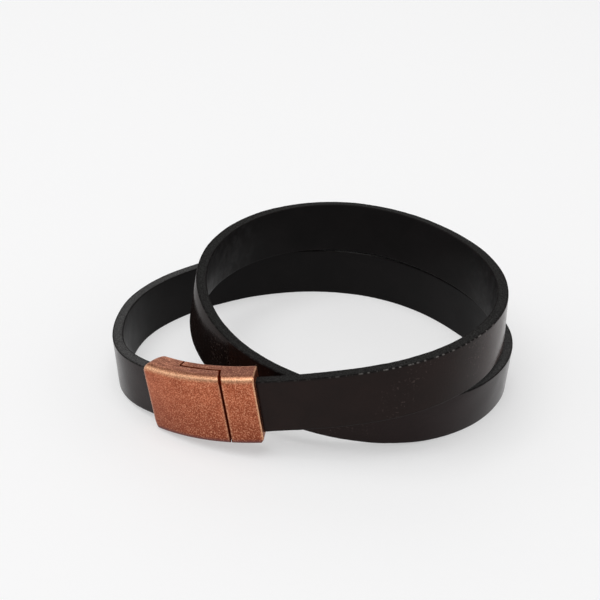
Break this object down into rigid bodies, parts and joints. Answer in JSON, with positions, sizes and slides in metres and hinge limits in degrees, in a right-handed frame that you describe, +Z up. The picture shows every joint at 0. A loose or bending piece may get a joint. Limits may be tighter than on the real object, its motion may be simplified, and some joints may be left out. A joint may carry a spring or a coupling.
{
  "type": "leather bracelet",
  "caption": "Flat leather strap bracelet that wraps twice round the wrist, closed by a curved copper-coloured lap clasp, lying flat.",
  "frame": {"origin": "centre of the underside of the bounding box, on the surface that the bracelet lies on", "axes": "+Z up from that surface, +X to the right along the longest extent, -Y towards the viewer and the clasp"},
  "size_m": [0.0747, 0.0608, 0.0213],
  "materials": {
    "strap_leather": "smooth dark chocolate leather, semi-gloss, with dark painted edges",
    "clasp_copper": "antique copper plating, finely speckled, with bright worn edges"
  },
  "bodies": {
    "root": {"strap": "strap_leather", "clasp_body": "clasp_copper", "clasp_tongue": "clasp_copper"}
  },
  "joints": []
}
